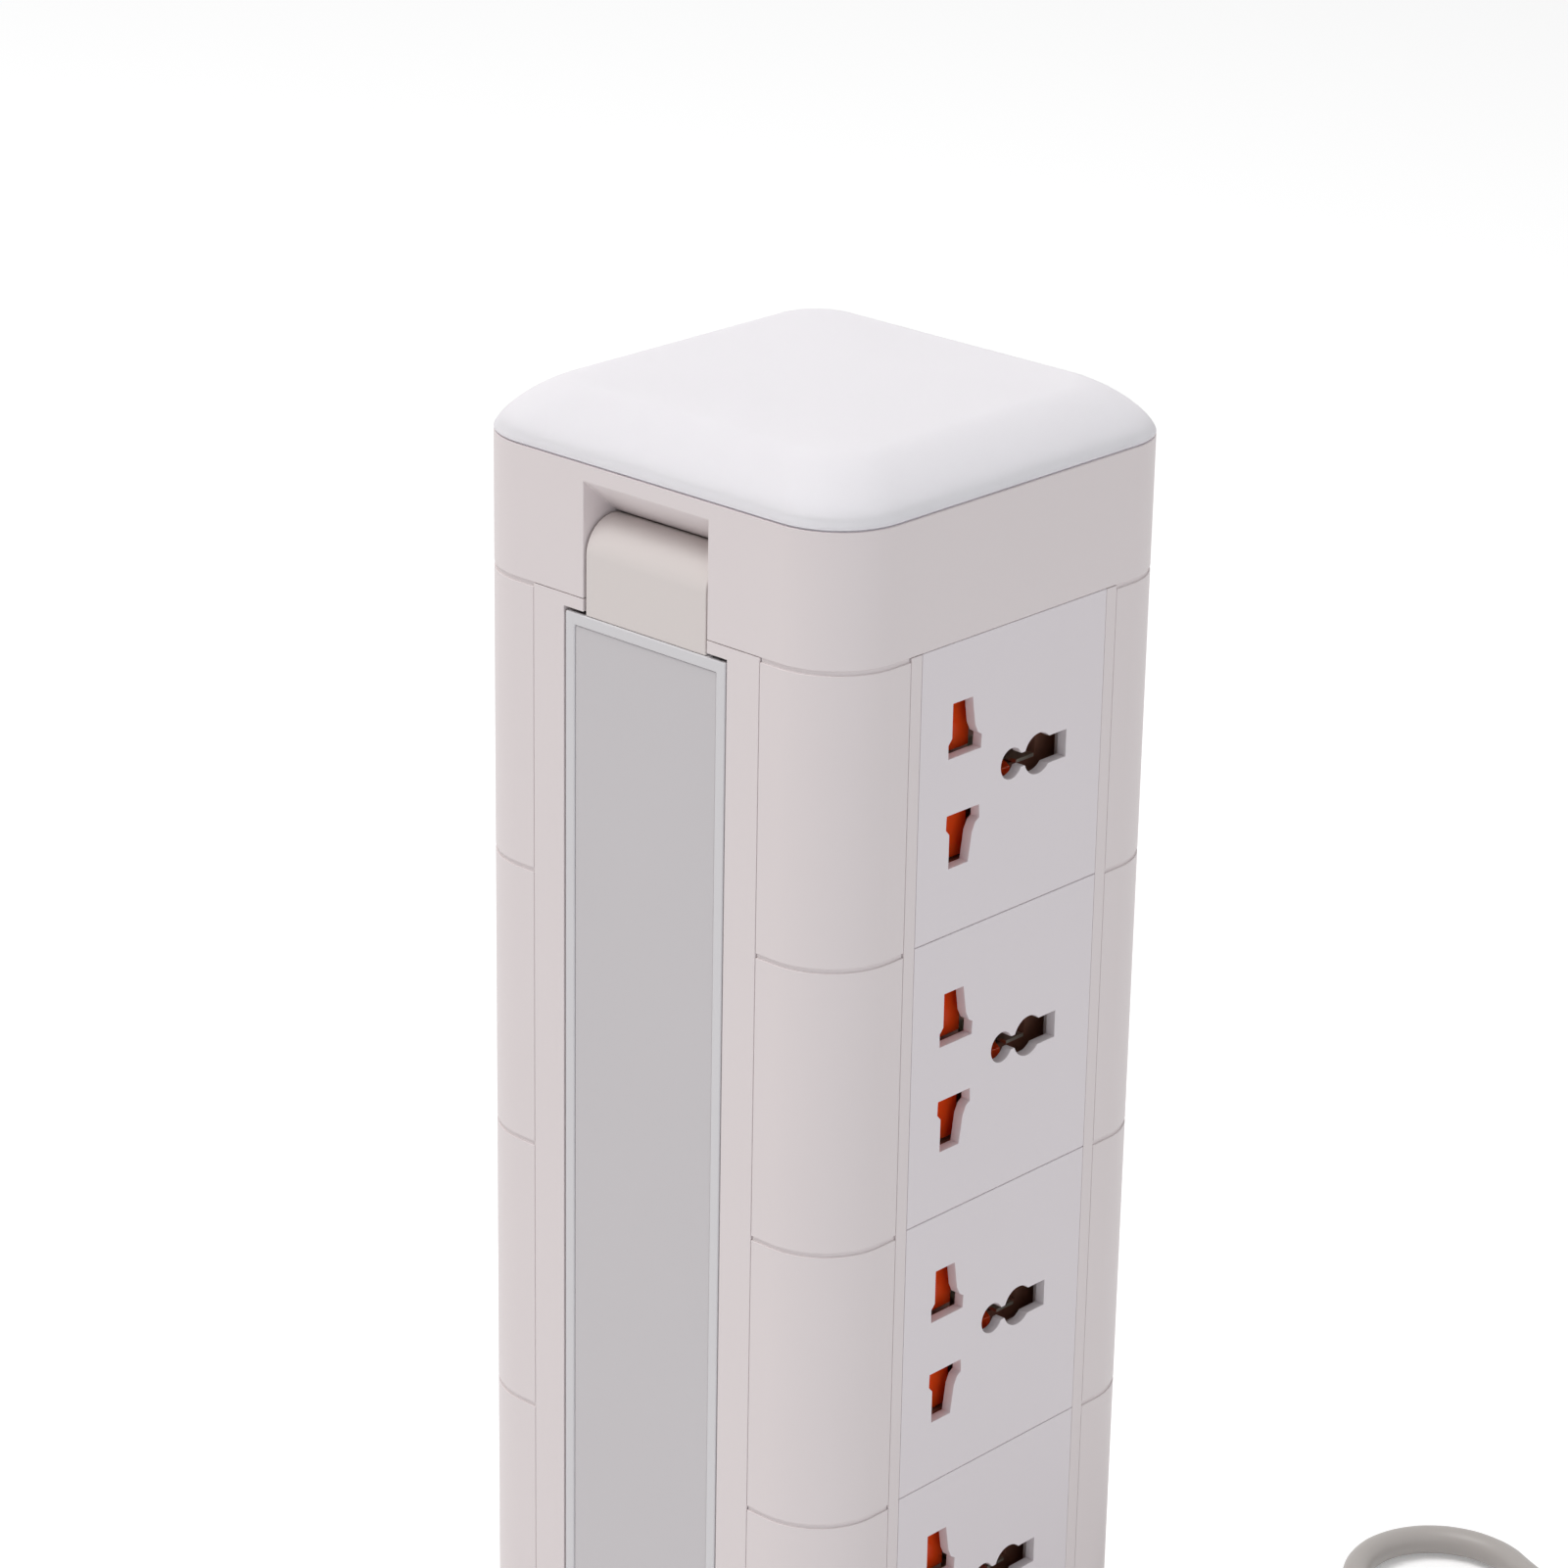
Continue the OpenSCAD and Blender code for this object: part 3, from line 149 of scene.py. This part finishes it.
def run(loop, side, start, end):
    """The knots of one run, its first one included and its last one left out."""
    near_stations = [waist_at + (hank_long - waist_at) * k / run_knots for k in range(run_knots)]
    first, last = min(start, end) + knot_gap, max(start, end) - knot_gap
    inner = [s for s in far_stations + near_stations if first < s < last]
    if end < start:
        inner.reverse()
    z = layer_height(loop)
    return [hank_point(s, side * half_width(loop, side, s), z) for s in [start] + inner]


hank_path = []
for loop in range(loop_count - 1):
    low, high = layer_height(loop), layer_height(loop + 1)
    near_r = fold_r + hank_step * loop_rings[loop]
    next_r = fold_r + hank_step * loop_rings[loop + 1]
    r0, r1 = (fold_r, fold_r) if loop == 0 else (near_r, next_r)
    far = far_shifts[loop]
    hank_path += run(loop, 1, first_start if loop == 0 else far_shifts[loop - 1], hank_long)
    for k in range(fold_knots):
        a = math.pi * k / fold_knots
        s, w = hank_long + near_r * math.sin(a), near_r * math.cos(a)
        hank_path.append(hank_point(s, w, low))
    hank_path += run(loop, -1, hank_long, far)
    for k in range(fold_knots):
        t = k / fold_knots
        r = r0 + (r1 - r0) * t
        s, w = far - r * math.sin(math.pi * t), -r * math.cos(math.pi * t)
        hank_path.append(hank_point(s, w, low + (high - low) * ease((t - lift_from) / lift_share)))
last_loop, tail_at = loop_count - 1, (waist_at + hank_long) / 2
hank_path += run(last_loop, 1, far_shifts[-1], tail_at)
tail_w = half_width(last_loop, 1, tail_at)
hank_path.append(hank_point(tail_at, tail_w, layer_height(last_loop)))
cord_path = [Vector(p) * mm for p in lead_mm] + [hank_path[0] - hank_along * cord_thick]
cord_path += hank_path + [Vector(p) * mm for p in tail_mm]
cord_curve = bpy.data.curves.new("cord", "CURVE")
cord_curve.dimensions = "3D"
cord_curve.bevel_depth = cord_thick / 2
cord_curve.bevel_resolution = 6
cord_curve.resolution_u = 4
cord_curve.use_fill_caps = True
spline = cord_curve.splines.new("BEZIER")
spline.bezier_points.add(len(cord_path) - 1)
for knot, point in zip(spline.bezier_points, cord_path):
    knot.co = point
    knot.handle_left_type = knot.handle_right_type = "AUTO"
mains_cord = placed("mains_cord", cord_curve)


def linear(hex_colour):
    """A hex sRGB colour as linear red, green, blue and alpha."""
    parts = [int(hex_colour[i : i + 2], 16) / 255 for i in (1, 3, 5)]
    shares = [c / 12.92 if c <= 0.04045 else ((c + 0.055) / 1.055) ** 2.4 for c in parts]
    return (*shares, 1.0)


def add(owner, kind, links=None, **settings):
    """Adds a node with its settings, and links or sets its inputs."""
    tree = owner.node_tree
    node = tree.nodes.new(kind)
    for name, value in settings.items():
        setattr(node, name, value)
    for name, value in (links or {}).items():
        if isinstance(value, bpy.types.NodeSocket):
            tree.links.new(value, node.inputs[name])
        else:
            node.inputs[name].default_value = value
    return node


patch_size, gloss_spread, bump_strength = 35 * mm, 0.05, 0.6


def finish_of(name, colour, shade, roughness, grain, depth, stretch=(1, 1, 1), **shader):
    """A material of two close tones in soft patches, with its surface grain as bump and gloss.

    Grain and depth are in millimetres. A real mould's or roller's grain is about a tenth of a
    millimetre wide. It is drawn three to eight times as coarse, as it needs to be to show.
    """
    material = bpy.data.materials.new(name)
    material.use_nodes = True
    surface = material.node_tree.nodes["Principled BSDF"]
    place = add(material, "ShaderNodeTexCoord").outputs["Object"]
    drawn = add(material, "ShaderNodeMapping", {"Vector": place, "Scale": stretch})
    patches = add(material, "ShaderNodeTexNoise",
                  {"Vector": place, "Scale": 1 / patch_size, "Detail": 2.0})
    tones = {"Factor": patches.outputs["Fac"], "A": linear(colour), "B": linear(shade)}
    tone = add(material, "ShaderNodeMix", tones, data_type="RGBA")
    grains = add(material, "ShaderNodeTexNoise",
                 {"Vector": drawn.outputs["Vector"], "Scale": 1 / (grain * mm), "Detail": 3.0,
                  "Roughness": 0.6}).outputs["Fac"]
    bump = add(material, "ShaderNodeBump",
               {"Height": grains, "Strength": bump_strength, "Distance": depth * mm})
    gloss = add(material, "ShaderNodeMapRange",
                {"Value": grains, "To Min": roughness - gloss_spread,
                 "To Max": roughness + gloss_spread})
    links = material.node_tree.links
    links.new(tone.outputs["Result"], surface.inputs["Base Color"])
    links.new(bump.outputs["Normal"], surface.inputs["Normal"])
    links.new(gloss.outputs["Result"], surface.inputs["Roughness"])
    for socket, value in shader.items():
        surface.inputs[socket.replace("_", " ")].default_value = value
    return material


def paint(piece, material):
    """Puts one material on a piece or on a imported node."""
    piece.data.materials.clear()
    piece.data.materials.append(material)


# Soft PVC sheath: extruded, so it is matt and slightly waxy, with a faint drag grain.
pvc = finish_of("pvc_sheath", "#B1ABA7", "#ABA5A1", 0.4, grain=0.8, depth=0.02)
paint(mains_cord, pvc)
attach(mains_cord, "tower")
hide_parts("cord", "cord_coil")

# The strain relief: a collar and a short taper moulded onto the cord in the same soft grey PVC.
# Its flange sits behind the base's back wall, so a pull on the cord doesn't reach the wires.
weld, level_angle = 0.001 * mm, math.radians(0.5)
edge_angle, sharp_angle = math.radians(35), math.radians(50)


def rounded_copy(node, material, radius_mm=0.25, segments=2):
    """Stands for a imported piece: its copy with the small radii that a mould leaves on edges."""
    name = node + "_finished"
    mesh = bpy.data.meshes.new(name)
    bm = bmesh.new()
    bm.from_mesh(nodes[node].data)
    bmesh.ops.remove_doubles(bm, verts=bm.verts, dist=weld)
    bmesh.ops.dissolve_limit(bm, angle_limit=level_angle, verts=bm.verts, edges=bm.edges)
    edges = [e for e in bm.edges if len(e.link_faces) == 2 and e.calc_face_angle(0) > edge_angle]
    bmesh.ops.bevel(bm, geom=edges, offset=radius_mm * mm, offset_type="OFFSET", affect="EDGES",
                    segments=segments, profile=0.5, clamp_overlap=False, material=-1)
    bm.to_mesh(mesh)
    bm.free()
    mesh.shade_smooth()
    mesh.set_sharp_from_angle(angle=sharp_angle)
    piece = placed(name, mesh)
    piece.modifiers.new("even_shading", "WEIGHTED_NORMAL").keep_sharp = True
    paint(piece, material)
    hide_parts(node)
    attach(piece, nodes[node]["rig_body"])
    return piece


cord_gland = rounded_copy("cord_gland", pvc, radius_mm=0.4, segments=3)

# The tie round the hank's waist: a strap of soft white polythene, cut from extruded strip and
# bent round the runs. The rollers leave it satin and nearly even.
polythene = finish_of("polythene_strap", "#DDDAD6", "#D6D3CF", 0.45, grain=0.5, depth=0.01)
cord_tie = rounded_copy("cord_tie", polythene, radius_mm=0.1)

# The fused plug moulded onto the cord's end in the same PVC, lying on its back. Its pins are
# brass, tumbled and nickel plated, which makes them smooth and bright. The two pole pins have
# black nylon sleeves from a polished mould over the half next to the body.
plug_middle, sleeve_top, earth_half = 97 * mm, 29 * mm, 5 * mm
plug_body = rounded_copy("plug_body", pvc, radius_mm=1.6, segments=4)
nickel = finish_of("nickel_plated_brass", "#CBC7BD", "#C1BDB3", 0.25, grain=0.5, depth=0.004,
                   Metallic=1.0)
glossy_black = finish_of("glossy_black_polyamide", "#1D1D1F", "#19191B", 0.3, grain=0.4,
                         depth=0.006)
plug_pins = rounded_copy("plug_pins", nickel, radius_mm=0.5, segments=3)
plug_pins.data.materials.append(glossy_black)


def cut_through(bm, place, direction):
    """Adds the edges where a plane crosses a piece, and takes nothing away."""
    bmesh.ops.bisect_plane(bm, geom=bm.verts[:] + bm.edges[:] + bm.faces[:], plane_co=place,
                           plane_no=direction)


bm = bmesh.new()
bm.from_mesh(plug_pins.data)
cut_through(bm, (0, 0, sleeve_top), (0, 0, 1))
for face in bm.faces:
    centre = face.calc_center_median()
    face.material_index = int(centre.z < sleeve_top and abs(centre.x - plug_middle) > earth_half)
bm.to_mesh(plug_pins.data)
bm.free()

# The base: a shallow tray a little wider than the tower, and the flat cover that closes it from
# below. Both are injection moulded in the warm off-white ABS of the tower. Its spark-eroded
# mould leaves it matt, with a fine even grain.
abs_body = finish_of("abs_warm_white", "#DFD5D5", "#DCD2D2", 0.42, grain=0.35, depth=0.012)
rounded_copy("base_shell", abs_body, radius_mm=0.5, segments=3)
rounded_copy("base_cover", abs_body, radius_mm=0.3)

# Four soft rubber feet glued under the base's corners, pressed in a rough mould that leaves them
# dull and dark grey. Four self-tapping steel screws, plated with slightly cloudy zinc, hold the
# cover to the posts of the base.
rubber = finish_of("moulded_rubber", "#55565A", "#4E4F53", 0.75, grain=0.6, depth=0.03)
rounded_copy("feet", rubber, radius_mm=0.4, segments=3)
zinc = finish_of("zinc_plated_steel", "#C3C6C9", "#B4B7BB", 0.3, grain=0.4, depth=0.01,
                 Metallic=1.0)
rounded_copy("base_screws", zinc, radius_mm=0.15)

# The long rods that clamp base, levels and head together inside the corners: drawn steel wire
# with a head at its foot, plated with the same zinc.
paint(nodes["tie_rods"], zinc)

# Five corner frames, one a level, stacked and clamped by the rods. Each is moulded from the
# tower's ABS in one piece with the floor that joins its corners. Its top edge is drawn in a
# little, which gives the fine seams round the tower.
levels = range(1, 6)
for k in levels:
    rounded_copy(f"module_frame_{k}", abs_body, radius_mm=0.15)

# The long panels: flush strips of the same ABS, as tall as the five levels, whose wider flange
# sits behind the corner walls. The front one holds the lamp's pocket, the side ones the sockets.
for name in ("front_panel", "rear_panel", "right_panel", "left_panel"):
    rounded_copy(name, abs_body, radius_mm=0.12)

# Ten socket plates pressed into the side panels, with two pole slots and the earth opening. They
# are ABS from a finer mould, a cooler white and slightly glossier. Behind its face a plate is a
# tenth of a millimetre taller, so that the seams between plates close at their foot.
abs_plate = finish_of("abs_cool_white", "#E0D8DB", "#DDD5D8", 0.38, grain=0.3, depth=0.008)
lip_depth, lip_slope, lip_reach, end_play = 0.12 * mm, 0.05 * mm, 0.09 * mm, 0.02 * mm
for side, way in (("right", 1), ("left", -1)):
    for k in levels:
        plate = rounded_copy(f"{side}_socket_plate_{k}", abs_plate, radius_mm=0.08)
        bm = bmesh.new()
        bm.from_mesh(plate.data)
        face_x = max(abs(v.co.x) for v in bm.verts)
        low, high = (pick(v.co.z for v in bm.verts) for pick in (min, max))
        for depth in (lip_depth, lip_depth + lip_slope):
            cut_through(bm, (way * (face_x - depth), 0, 0), (1, 0, 0))
        for v in bm.verts:
            if abs(v.co.x) < face_x - lip_depth - lip_slope / 2:
                v.co.z += lip_reach * ((high - v.co.z < end_play) - (v.co.z - low < end_play))
        bm.to_mesh(plate.data)
        bm.free()

# The safety shutters behind the slots: clear orange-red polycarbonate from a polished mould, so
# they are glossy and glow at the edges where light gets in. Each slides aside on two moulded
# spring arms.
shutter_red = finish_of("polycarbonate_orange_red", "#F4511A", "#EC4814", 0.22, grain=0.5,
                        depth=0.004, IOR=1.58, Subsurface_Weight=0.7, Subsurface_Scale=0.004,
                        Subsurface_Radius=(1, 0.35, 0.1))
for side in ("right", "left"):
    for k in levels:
        rounded_copy(f"{side}_shutter_{k}", shutter_red, radius_mm=0.15)

# The carriers behind the shutters, moulded in polyamide. Their red-brown colour is painted light: a
# lighter red tint for the red glow that the shutters throw into the openings. They hold the stamped
# brass bars, whose gripping leaves stand at the slots.
# The bars are tinned after stamping: pale and soft in gloss, with a grain along the strip.
carrier_red_glow = finish_of("polyamide_painted_red_glow", "#A8735F", "#9C6955", 0.5, grain=0.5, depth=0.01)
for name in ("right_contact_carrier", "left_contact_carrier"):
    paint(nodes[name], carrier_red_glow)
tinned = finish_of("tinned_brass", "#D2CCC0", "#C4BEB2", 0.42, grain=0.6, depth=0.006,
                   stretch=(1, 1, 0.1), Metallic=1.0)
for name in ("live_busbars", "neutral_busbars", "earth_busbars"):
    paint(nodes[name], tinned)

# The circuit boards of the driver, the lamp and the night light: cut from glass-fibre laminate
# and printed with a white solder mask, which makes them satin. They stay hidden in their housings.
solder_mask = finish_of("white_solder_mask", "#E9ECE6", "#E1E4DE", 0.35, grain=0.5, depth=0.006)
for name in ("power_board", "lamp_board", "night_light_board"):
    paint(nodes[name], solder_mask)

# The head ring over the top level, moulded in the tower's ABS and clamped by the rods, with the
# bay of the lamp's hinge in front and the deck of the night light inside. The bay's ceiling
# comes down close over the hinge's knuckle.
bay_half, bay_back, bay_ceiling = 14.6 * mm, -28 * mm, 299.1 * mm
ceiling_play, ceiling_drop = 0.35 * mm, 0.55 * mm
head = rounded_copy("head_ring", abs_body, radius_mm=0.2)
for v in head.data.vertices:
    at_ceiling = abs(v.co.z - bay_ceiling) < ceiling_play
    if abs(v.co.x) < bay_half and v.co.y < bay_back and at_ceiling:
        v.co.z -= ceiling_drop
paint(nodes["head_deck"], abs_plate)

# The dome: a thin opal cover over the night light, injection moulded in milky polycarbonate. Its
# skirt is pressed into the head down to the deck, its broad round edge runs into a low crown, and
# a fine groove parts it from the head.
skirt_wide, skirt_corner, skirt_low = 82.6 * mm, 10.7 * mm, 306.9 * mm
dome_wide, dome_corner, dome_low, dome_groove = 88 * mm, 13.4 * mm, 308.2 * mm, 0.4 * mm
edge_deep, edge_high, crown_high, dome_wall = 12 * mm, 8.8 * mm, 1.45 * mm, 1.8 * mm
edge_form, edge_rings, crown_rings, corner_steps = 1.4, 18, 11, 14
edge_low = dome_low + dome_groove
outlines = [
    (skirt_wide, skirt_corner, dome_low),
    (dome_wide - 2 * dome_groove, dome_corner - dome_groove, dome_low),
    (dome_wide - 2 * dome_groove, dome_corner - dome_groove, edge_low),
    (dome_wide, dome_corner, edge_low),
]
for k in range(1, edge_rings + 1):
    a = math.pi / 2 * k / edge_rings
    drawn = edge_deep * (1 - max(math.cos(a), 0) ** (2 / edge_form))
    z = edge_low + edge_high * math.sin(a) ** (2 / edge_form)
    outlines.append((dome_wide - 2 * drawn, dome_corner - drawn / 2, z))
for k in range(1, crown_rings + 1):
    rest = 1 - k / (crown_rings + 1)
    z = edge_low + edge_high + crown_high * (1 - rest * rest)
    outlines.append(((dome_wide - 2 * edge_deep) * rest, (dome_corner - edge_deep / 2) * rest, z))
mesh = bpy.data.meshes.new("opal_dome")
bm = bmesh.new()
width, corner = skirt_wide, skirt_corner
bmesh.ops.create_grid(bm, x_segments=1, y_segments=1, size=width / 2)
bmesh.ops.translate(bm, verts=bm.verts, vec=(0, 0, skirt_low))
bmesh.ops.bevel(bm, geom=bm.verts[:], offset=corner, offset_type="OFFSET", affect="VERTICES",
                segments=corner_steps, profile=0.5, clamp_overlap=False, material=-1)
top = max(bm.faces, key=lambda face: face.calc_area())
for new_width, new_corner, z in outlines:
    grown = bmesh.ops.extrude_face_region(bm, geom=[top])["geom"]
    bmesh.ops.delete(bm, geom=[top], context="FACES_ONLY")
    top = next(g for g in grown if isinstance(g, bmesh.types.BMFace))
    old, new = width / 2 - corner, new_width / 2 - new_corner
    for v in top.verts:
        side_x, side_y = math.copysign(1, v.co.x), math.copysign(1, v.co.y)
        x = side_x * (new + (abs(v.co.x) - old) * new_corner / corner)
        y = side_y * (new + (abs(v.co.y) - old) * new_corner / corner)
        v.co = (x, y, z)
    width, corner = new_width, new_corner
bmesh.ops.poke(bm, faces=[top])
bmesh.ops.remove_doubles(bm, verts=bm.verts, dist=weld)
bmesh.ops.recalc_face_normals(bm, faces=bm.faces)
bm.to_mesh(mesh)
bm.free()
mesh.shade_smooth()
mesh.set_sharp_from_angle(angle=sharp_angle)
opal_dome = placed("opal_dome", mesh)
wall = opal_dome.modifiers.new("wall", "SOLIDIFY")
wall.thickness = dome_wall
wall.offset = -1
# In milky polycarbonate light spreads some millimetres under the satin skin and softens its shade.
opal = finish_of("opal_polycarbonate", "#F2ECF3", "#F0EAF1", 0.6, grain=0.4, depth=0.004,
                 Subsurface_Weight=0.6, Subsurface_Scale=0.007, Subsurface_Radius=(1.0, 0.95, 1.0),
                 Specular_IOR_Level=0.2)
paint(opal_dome, opal)
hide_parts("dome")
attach(opal_dome, "tower")

# The lamp: a flat frame that folds into the front panel, moulded in a greyer ABS than the tower.
# Its long diffuser is let into the frame's face: frosted polycarbonate, blasted on the inside,
# which gives it an even satin grey while the lamp is off.
abs_lamp = finish_of("abs_grey_white", "#D4D1D3", "#D1CED0", 0.38, grain=0.3, depth=0.008)
rounded_copy("lamp_frame", abs_lamp, radius_mm=0.3, segments=3)
frosted = finish_of("frosted_polycarbonate", "#C7C2C4", "#C4BFC1", 0.3, grain=0.3, depth=0.006)
rounded_copy("lamp_diffuser", frosted, radius_mm=0.2)

# The lamp's hinge: a knuckle on a plated steel pin, its tongue held in the lamp's frame. It is
# moulded in ABS from another batch, matt as the tower's and slightly creamier.
abs_hinge = finish_of("abs_cream_white", "#D9D0CD", "#D6CDCA", 0.42, grain=0.35, depth=0.012)
rounded_copy("hinge_knuckle", abs_hinge)
paint(nodes["hinge_pin"], zinc)

# The master switch at the back: a black polyamide bezel snapped into the rear panel, and in it a
# rocker of translucent red polycarbonate. Both come from polished moulds and are glossy.
switch_red = finish_of("translucent_red_rocker", "#B3160F", "#A8130D", 0.22, grain=0.5, depth=0.004)
rounded_copy("rocker_bezel", glossy_black, radius_mm=0.3, segments=3)
rounded_copy("rocker", switch_red)

# The resettable breaker under it: a threaded bush with a round nut, moulded in the bezel's black
# polyamide, and its push button in the rocker's red.
rounded_copy("breaker_body", glossy_black)
rounded_copy("reset_button", switch_red, radius_mm=0.4, segments=3)

# The studio: a matt pale floor under a white surround. A large softbox lights the tower from
# above on the lamp's side, and a weak cooler fill lights the sockets' side from low down.
floor_half, floor_glow = 8, 0.2
surround_light, surround_white = 0.52, 1.0
white = (1, 1, 1, 1)
floor_mesh = bpy.data.meshes.new("floor")
bm = bmesh.new()
bmesh.ops.create_grid(bm, x_segments=1, y_segments=1, size=floor_half)
bm.to_mesh(floor_mesh)
bm.free()
floor = placed("floor", floor_mesh)


def seen_as_background(owner):
    """1 for a ray that shows the background: from the camera, off gloss or through glass."""
    rays = add(owner, "ShaderNodeLightPath").outputs
    seen = rays["Is Camera Ray"]
    for name in ("Is Glossy Ray", "Is Transmission Ray"):
        either = add(owner, "ShaderNodeMath", {0: seen, 1: rays[name]}, operation="MAXIMUM")
        seen = either.outputs[0]
    return seen


floor_paint = bpy.data.materials.new("studio_floor")
floor_paint.use_nodes = True
tree = floor_paint.node_tree
surface = tree.nodes["Principled BSDF"]
surface.inputs["Base Color"].default_value = linear("#FAFAFA")
surface.inputs["Roughness"].default_value = 0.9
surface.inputs["Specular IOR Level"].default_value = 0.0
seen = seen_as_background(floor_paint)
strength = add(floor_paint, "ShaderNodeMath", {0: seen, 1: floor_glow}, operation="MULTIPLY")
glow = add(floor_paint, "ShaderNodeEmission", {"Color": white, "Strength": strength.outputs[0]})
both = add(floor_paint, "ShaderNodeAddShader", {0: surface.outputs[0], 1: glow.outputs[0]})
tree.links.new(both.outputs[0], tree.nodes["Material Output"].inputs["Surface"])
paint(floor, floor_paint)

world = bpy.data.worlds.new("studio")
bpy.context.scene.world = world
world.use_nodes = True
seen = seen_as_background(world)
strength = add(world, "ShaderNodeMapRange",
               {"Value": seen, "To Min": surround_light, "To Max": surround_white})
surround = world.node_tree.nodes["Background"].inputs
world.node_tree.links.new(strength.outputs["Result"], surround["Strength"])
surround["Color"].default_value = white

light_aim = Vector((0, 0, 0.15))
cool_white = (0.7, 0.86, 1.0)
for name, size, energy, colour, place in (
    ("softbox", 2.0, 60, white[:3], (-0.5, -0.9, 3.2)),
    ("fill", 1.2, 3.2, cool_white, (1.6, -0.7, 0.35)),
):
    light = placed(name, bpy.data.lights.new(name, "AREA"))
    light.data.size = size
    light.data.energy = energy
    light.data.color = colour
    light.location = place
    light.rotation_mode = "QUATERNION"
    light.rotation_quaternion = (light.location - light_aim).to_track_quat("Z", "Y")

bpy.context.scene.view_settings.view_transform = "Standard"
